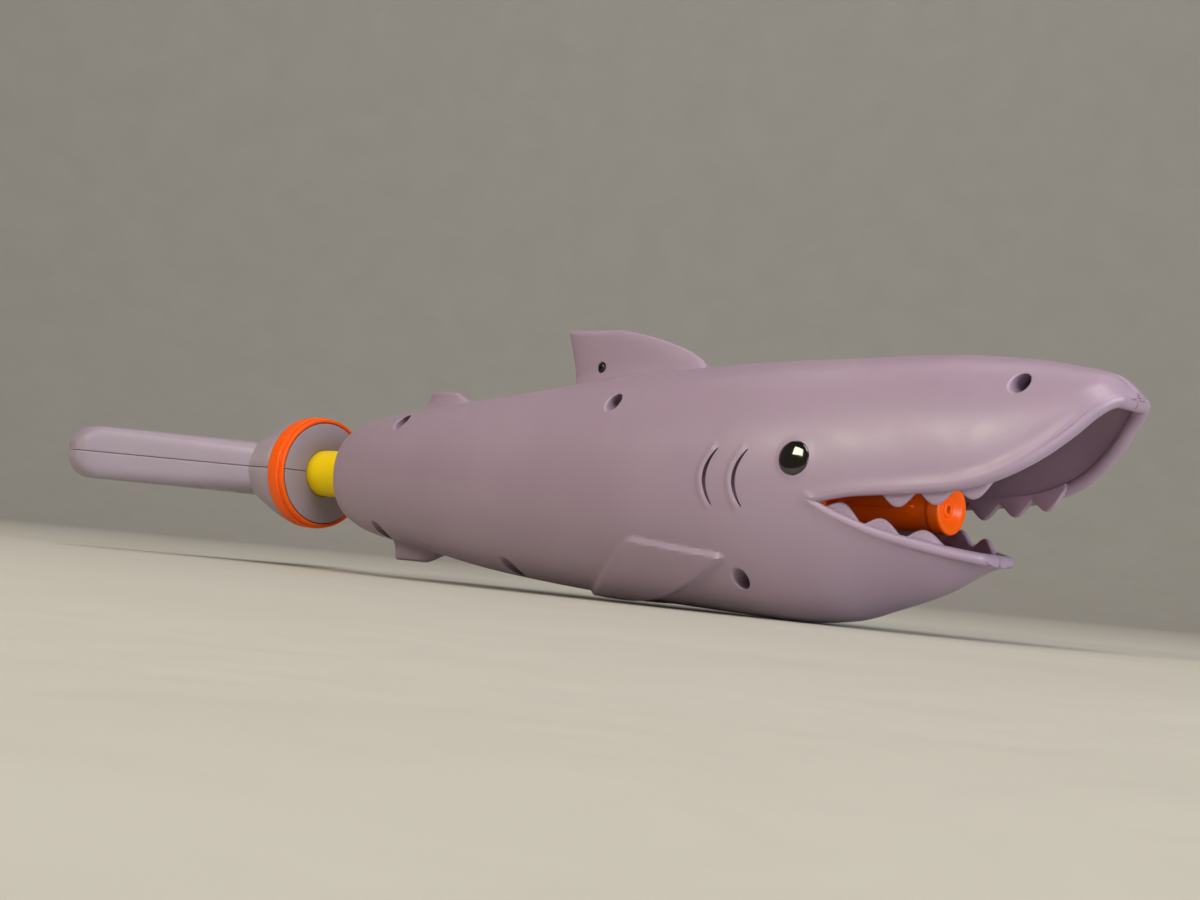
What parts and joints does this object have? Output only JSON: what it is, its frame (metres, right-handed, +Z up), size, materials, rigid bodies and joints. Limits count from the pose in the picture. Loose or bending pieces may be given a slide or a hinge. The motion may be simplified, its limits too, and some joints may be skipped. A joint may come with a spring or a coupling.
{
  "type": "water squirter",
  "caption": "Hand-pump water squirter: a hollow shark-shaped body with a toothed open mouth round its nozzle, and a tail fin that is the plunger's handle.",
  "frame": {"origin": "on the ground under the middle of the part's length, with the pump's axis 39.5 mm above it", "axes": "+X to the nose along the pump's axis, +Y to the shark's left, +Z up through the dorsal fin"},
  "size_m": [0.4482, 0.144, 0.0975],
  "materials": {
    "body_plastic": "satin dusky mauve moulded plastic",
    "tail_plastic": "satin grey-lilac moulded plastic, slightly paler than the body",
    "pump_orange": "smooth orange plastic",
    "ring_orange": "smooth bright orange plastic",
    "rod_yellow": "smooth yellow plastic tube",
    "piston_white": "natural white plastic",
    "eye_gloss": "polished black plastic",
    "seal_rubber": "black rubber",
    "screw_steel": "black-plated steel screw"
  },
  "bodies": {
    "body": {"shell_right": "body_plastic", "shell_left": "body_plastic", "eye_right": "eye_gloss", "eye_left": "eye_gloss", "nozzle": "pump_orange", "nozzle_seal": "seal_rubber", "barrel": "pump_orange", "barrel_gland": "pump_orange", "body_screw_1": "screw_steel", "body_screw_2": "screw_steel", "body_screw_3": "screw_steel", "body_screw_4": "screw_steel", "body_screw_5": "screw_steel", "body_screw_6": "screw_steel", "body_screw_7": "screw_steel"},
    "seal_rings": {"piston_ring_front": "seal_rubber", "piston_ring_rear": "seal_rubber"},
    "plunger": {"piston_head": "piston_white", "plunger_rod": "rod_yellow", "tail_ring": "ring_orange", "tail_half_upper": "tail_plastic", "tail_half_lower": "tail_plastic", "tail_screw_1": "screw_steel", "tail_screw_2": "screw_steel", "tail_screw_3": "screw_steel", "tail_screw_4": "screw_steel"}
  },
  "joints": [
    {"name": "plunger_slide", "type": "slide", "parent": "body", "child": "seal_rings", "axis": [-1, 0, 0], "range_m": [-0.0285, 0.163]},
    {"name": "tail_turn", "type": "hinge", "parent": "seal_rings", "child": "plunger", "pos_m": [0, 0, 0.0395], "axis": [1, 0, 0], "continuous": true}
  ]
}
